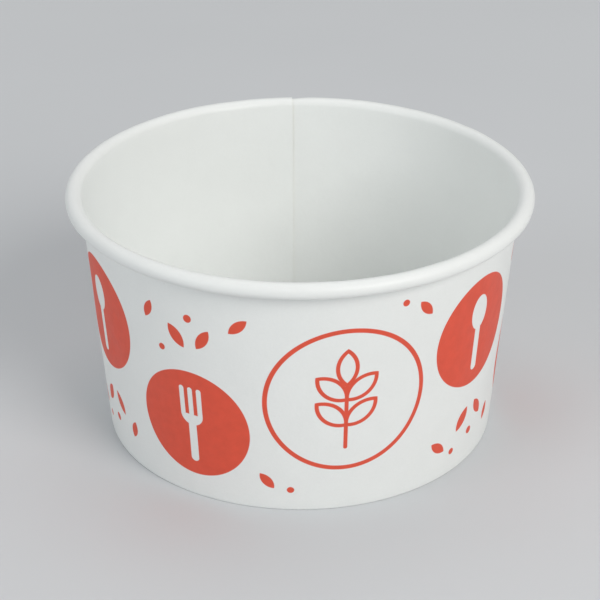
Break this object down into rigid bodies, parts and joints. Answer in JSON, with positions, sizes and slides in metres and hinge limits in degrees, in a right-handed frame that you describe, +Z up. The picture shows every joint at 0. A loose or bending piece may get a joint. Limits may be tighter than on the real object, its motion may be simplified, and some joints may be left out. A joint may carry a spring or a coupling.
{
  "type": "paper bowl",
  "caption": "Round paper bowl with a gently tapered wall, rolled rim, lapped side seam and recessed base, for serving hot or cold food.",
  "frame": {"origin": "centre of the ring that the bowl stands on, on the table", "axes": "+Z up along the bowl's axis; -Y is the front, as seen in the picture; the side seam is at the back, near +Y"},
  "size_m": [0.098, 0.098, 0.0545],
  "materials": {
    "printed_board": "coated white board, satin, with orange-red print on the outside",
    "plain_board": "coated white board, satin"
  },
  "bodies": {
    "root": {"side_wall": "printed_board", "base_disc": "plain_board"}
  },
  "joints": []
}
